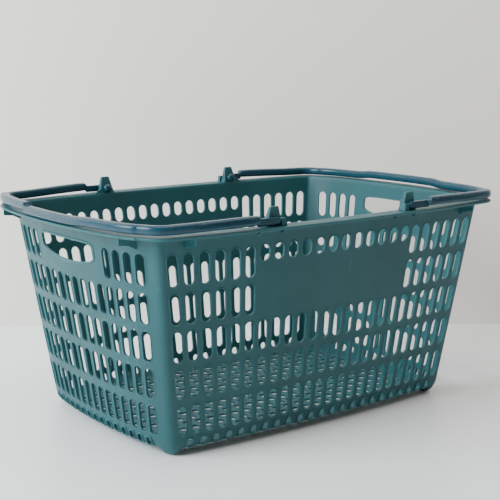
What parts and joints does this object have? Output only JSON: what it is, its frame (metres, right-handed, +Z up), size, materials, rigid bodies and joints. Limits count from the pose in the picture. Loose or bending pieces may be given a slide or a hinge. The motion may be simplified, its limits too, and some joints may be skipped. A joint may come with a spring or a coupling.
{
  "type": "hand shopping basket",
  "caption": "Supermarket shopping basket: tapered slotted plastic tub with a flanged rim, end hand holes and two folding bail handles.",
  "frame": {"origin": "on the floor under the middle of the basket, between its feet", "axes": "+X along the long side, to the picture's right; +Y across the basket, away from the viewer; +Z up"},
  "size_m": [0.5218, 0.3726, 0.2557],
  "materials": {
    "tub_plastic": "satin moulded polypropylene, dark grey teal",
    "handle_plastic": "semi-gloss moulded plastic, slate teal"
  },
  "bodies": {
    "tub": {"back_wall": "tub_plastic", "corner_back_left": "tub_plastic", "corner_back_right": "tub_plastic", "corner_front_left": "tub_plastic", "corner_front_right": "tub_plastic", "corner_gusset_back_left_end": "tub_plastic", "corner_gusset_back_left_side": "tub_plastic", "corner_gusset_back_right_end": "tub_plastic", "corner_gusset_back_right_side": "tub_plastic", "corner_gusset_front_left_end": "tub_plastic", "corner_gusset_front_left_side": "tub_plastic", "corner_gusset_front_right_end": "tub_plastic", "corner_gusset_front_right_side": "tub_plastic", "floor_grid": "tub_plastic", "foot_back_left": "tub_plastic", "foot_back_right": "tub_plastic", "foot_front_left": "tub_plastic", "foot_front_right": "tub_plastic", "front_wall": "tub_plastic", "hinge_post_back_left": "tub_plastic", "hinge_post_back_right": "tub_plastic", "hinge_post_front_left": "tub_plastic", "hinge_post_front_right": "tub_plastic", "left_end_wall": "tub_plastic", "left_hand_hole_jamb_back": "tub_plastic", "left_hand_hole_jamb_front": "tub_plastic", "left_hand_hole_lintel": "tub_plastic", "left_hand_hole_sill": "tub_plastic", "right_end_wall": "tub_plastic", "right_hand_hole_jamb_back": "tub_plastic", "right_hand_hole_jamb_front": "tub_plastic", "right_hand_hole_lintel": "tub_plastic", "right_hand_hole_sill": "tub_plastic", "rim_back": "tub_plastic", "rim_corner_back_left": "tub_plastic", "rim_corner_back_right": "tub_plastic", "rim_corner_front_left": "tub_plastic", "rim_corner_front_right": "tub_plastic", "rim_front": "tub_plastic", "rim_left": "tub_plastic", "rim_right": "tub_plastic", "stop_lug_back_left": "tub_plastic", "stop_lug_back_right": "tub_plastic", "stop_lug_front_left": "tub_plastic", "stop_lug_front_right": "tub_plastic"},
    "left_handle": {"left_handle_arm_back": "handle_plastic", "left_handle_arm_front": "handle_plastic", "left_handle_bend_back": "handle_plastic", "left_handle_bend_front": "handle_plastic", "left_handle_grip": "handle_plastic", "left_hinge_pin_back": "handle_plastic", "left_hinge_pin_front": "handle_plastic"},
    "right_handle": {"right_handle_arm_back": "handle_plastic", "right_handle_arm_front": "handle_plastic", "right_handle_bend_back": "handle_plastic", "right_handle_bend_front": "handle_plastic", "right_handle_grip": "handle_plastic", "right_hinge_pin_back": "handle_plastic", "right_hinge_pin_front": "handle_plastic"}
  },
  "joints": [
    {"name": "left_handle_swing", "type": "hinge", "parent": "tub", "child": "left_handle", "pos_m": [-0.0933, 0, 0.242], "axis": [0, 1, 0], "range_deg": [0, 120]},
    {"name": "right_handle_swing", "type": "hinge", "parent": "tub", "child": "right_handle", "pos_m": [0.0933, 0, 0.242], "axis": [0, -1, 0], "range_deg": [0, 120]}
  ]
}
